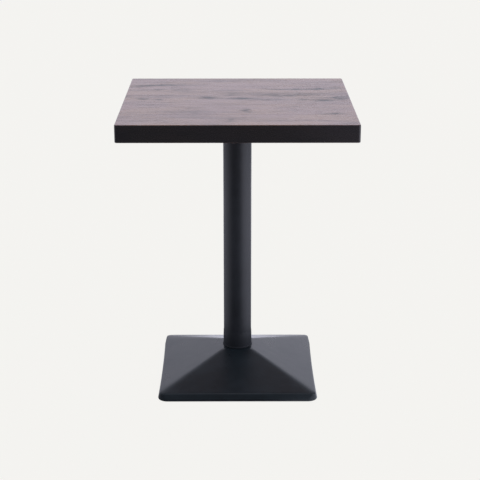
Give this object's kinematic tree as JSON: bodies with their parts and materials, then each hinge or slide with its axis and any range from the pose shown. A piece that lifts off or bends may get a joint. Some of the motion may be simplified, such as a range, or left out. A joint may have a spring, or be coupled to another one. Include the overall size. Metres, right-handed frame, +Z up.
{
  "type": "bistro table",
  "caption": "Small square cafe table with a thick solid wood top, a round steel column and a heavy square pyramid base on levelling glides.",
  "frame": {"origin": "on the floor, under the centre of the column", "axes": "+Z up; the staves and their grain run along X; Y runs across the staves, and -Y is the near side"},
  "size_m": [0.6, 0.6, 0.775],
  "materials": {
    "stained_wood": "dark stained, satin lacquer, open grain",
    "black_powder_coat": "fine-textured black powder coat",
    "black_cast_iron": "cast iron under black powder coat",
    "zinc_plated_steel": "bright zinc plate",
    "black_nylon": "moulded, matt"
  },
  "bodies": {
    "table": {"top_stave_1": "stained_wood", "top_stave_2": "stained_wood", "top_stave_3": "stained_wood", "top_stave_4": "stained_wood", "top_stave_5": "stained_wood", "top_spider": "black_cast_iron", "top_screw_1": "zinc_plated_steel", "top_screw_2": "zinc_plated_steel", "top_screw_3": "zinc_plated_steel", "top_screw_4": "zinc_plated_steel", "top_screw_5": "zinc_plated_steel", "top_screw_6": "zinc_plated_steel", "top_screw_7": "zinc_plated_steel", "top_screw_8": "zinc_plated_steel", "column_tube": "black_powder_coat", "column_collar": "black_powder_coat", "base_casting": "black_cast_iron", "tie_rod": "zinc_plated_steel", "tie_rod_foot_washer": "zinc_plated_steel", "tie_rod_lock_washer": "zinc_plated_steel", "tie_rod_foot_nut": "zinc_plated_steel", "tie_rod_top_washer": "zinc_plated_steel", "tie_rod_top_nut": "zinc_plated_steel"},
    "pad_1": {"glide_pad_1": "black_nylon"},
    "stem_1": {"glide_stem_1": "zinc_plated_steel"},
    "pad_2": {"glide_pad_2": "black_nylon"},
    "stem_2": {"glide_stem_2": "zinc_plated_steel"},
    "pad_3": {"glide_pad_3": "black_nylon"},
    "stem_3": {"glide_stem_3": "zinc_plated_steel"},
    "pad_4": {"glide_pad_4": "black_nylon"},
    "stem_4": {"glide_stem_4": "zinc_plated_steel"}
  },
  "joints": [
    {"name": "pad_1_travel", "type": "slide", "parent": "table", "child": "pad_1", "axis": [0, 0, 1], "range_m": [-0.009, 0.004]},
    {"name": "stem_1_turn", "type": "hinge", "parent": "pad_1", "child": "stem_1", "pos_m": [0.16, 0.16, 0], "axis": [0, 0, 1], "range_deg": [-2600, 1160]},
    {"name": "pad_2_travel", "type": "slide", "parent": "table", "child": "pad_2", "axis": [0, 0, 1], "range_m": [-0.009, 0.004]},
    {"name": "stem_2_turn", "type": "hinge", "parent": "pad_2", "child": "stem_2", "pos_m": [-0.16, 0.16, 0], "axis": [0, 0, 1], "range_deg": [-2600, 1160]},
    {"name": "pad_3_travel", "type": "slide", "parent": "table", "child": "pad_3", "axis": [0, 0, 1], "range_m": [-0.009, 0.004]},
    {"name": "stem_3_turn", "type": "hinge", "parent": "pad_3", "child": "stem_3", "pos_m": [-0.16, -0.16, 0], "axis": [0, 0, 1], "range_deg": [-2600, 1160]},
    {"name": "pad_4_travel", "type": "slide", "parent": "table", "child": "pad_4", "axis": [0, 0, 1], "range_m": [-0.009, 0.004]},
    {"name": "stem_4_turn", "type": "hinge", "parent": "pad_4", "child": "stem_4", "pos_m": [0.16, -0.16, 0], "axis": [0, 0, 1], "range_deg": [-2600, 1160]}
  ],
  "couplings": [
    {"joint": "stem_1_turn", "follows": "pad_1_travel", "rad_per_m": 5026.5},
    {"joint": "stem_2_turn", "follows": "pad_2_travel", "rad_per_m": 5026.5},
    {"joint": "stem_3_turn", "follows": "pad_3_travel", "rad_per_m": 5026.5},
    {"joint": "stem_4_turn", "follows": "pad_4_travel", "rad_per_m": 5026.5}
  ]
}
